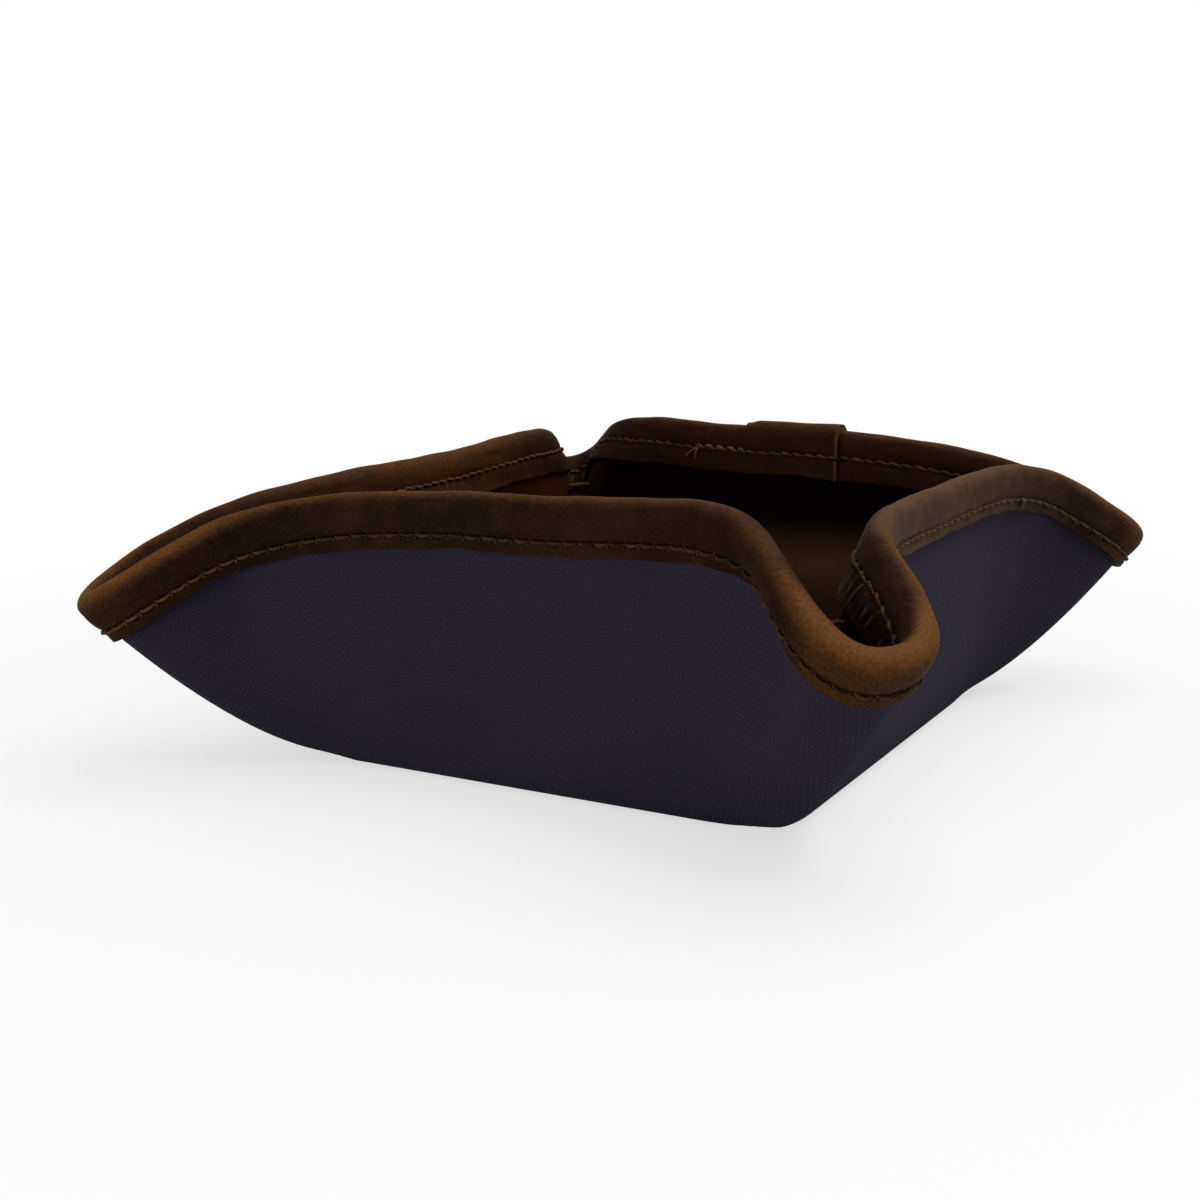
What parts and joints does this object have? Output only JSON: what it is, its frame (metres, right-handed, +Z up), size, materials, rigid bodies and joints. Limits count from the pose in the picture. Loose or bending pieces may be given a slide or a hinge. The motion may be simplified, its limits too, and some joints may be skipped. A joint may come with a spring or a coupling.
{
  "type": "valet tray",
  "caption": "Shallow square tray folded from leather-lined canvas, its edge bound with a stitched leather strip and its corners pinched into open ears, for keys, coins and pocket things.",
  "frame": {"origin": "middle of the underside of the base, on the table", "axes": "+Z up, -Y out of the front wall, +X out of the right wall"},
  "size_m": [0.1766, 0.1806, 0.0623],
  "materials": {
    "canvas": "dark navy plain-weave canvas, matt",
    "lining_leather": "dark brown leather, satin",
    "binding_leather": "brown oiled leather with scuffs",
    "thread": "brown twisted thread"
  },
  "bodies": {
    "root": {"canvas_shell": "canvas", "leather_lining": "lining_leather", "edge_binding": "binding_leather", "outer_thread": "thread", "inner_thread": "thread", "corner_tack_near": "thread", "corner_tack_right": "thread", "corner_tack_far": "thread", "corner_tack_left": "thread"}
  },
  "joints": []
}
